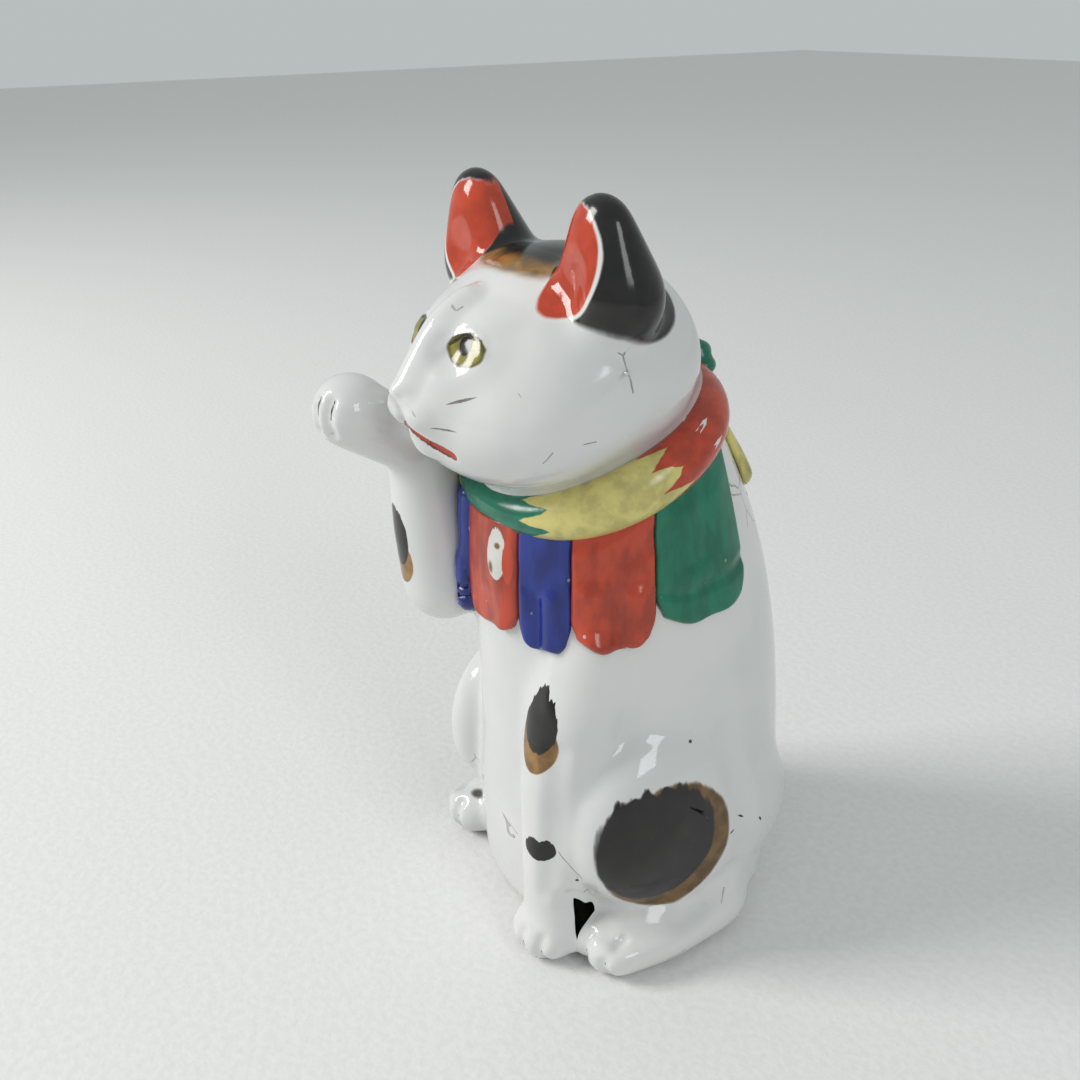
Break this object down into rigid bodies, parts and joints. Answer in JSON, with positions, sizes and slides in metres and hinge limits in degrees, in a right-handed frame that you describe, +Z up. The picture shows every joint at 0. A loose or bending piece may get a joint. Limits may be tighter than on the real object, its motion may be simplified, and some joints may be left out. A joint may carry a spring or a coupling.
{
  "type": "beckoning cat figurine",
  "caption": "Upright hollow porcelain cat with one forepaw raised to its cheek, a rolled neck cloth and a bib of painted flaps.",
  "frame": {"origin": "middle of the footprint, feet included, on the table surface", "axes": "+Z up, the cat faces -Y, its left side is +X"},
  "size_m": [0.1018, 0.1288, 0.2099],
  "materials": {
    "white_glaze": "gloss",
    "black_enamel": "gloss",
    "red_enamel": "gloss",
    "blue_enamel": "gloss",
    "green_enamel": "gloss",
    "yellow_enamel": "gloss",
    "bare_biscuit": "matt"
  },
  "bodies": {
    "root": {"body_front_shell": "white_glaze", "body_back_shell": "white_glaze", "head_face_shell": "white_glaze", "head_back_shell": "white_glaze", "left_ear": "black_enamel", "right_ear": "black_enamel", "raised_arm": "white_glaze", "raised_paw": "white_glaze", "standing_foreleg": "white_glaze", "left_hind_foot": "white_glaze", "right_hind_foot": "white_glaze", "tail": "black_enamel", "base_plate": "bare_biscuit", "neck_roll": "yellow_enamel", "bib_front_red": "red_enamel", "bib_left_blue": "blue_enamel", "bib_right_blue": "blue_enamel", "bib_left_red": "red_enamel", "bib_right_red": "red_enamel", "bib_left_green": "green_enamel", "bib_right_green": "green_enamel", "nape_knot": "green_enamel", "left_ribbon": "red_enamel", "right_ribbon": "red_enamel"}
  },
  "joints": []
}
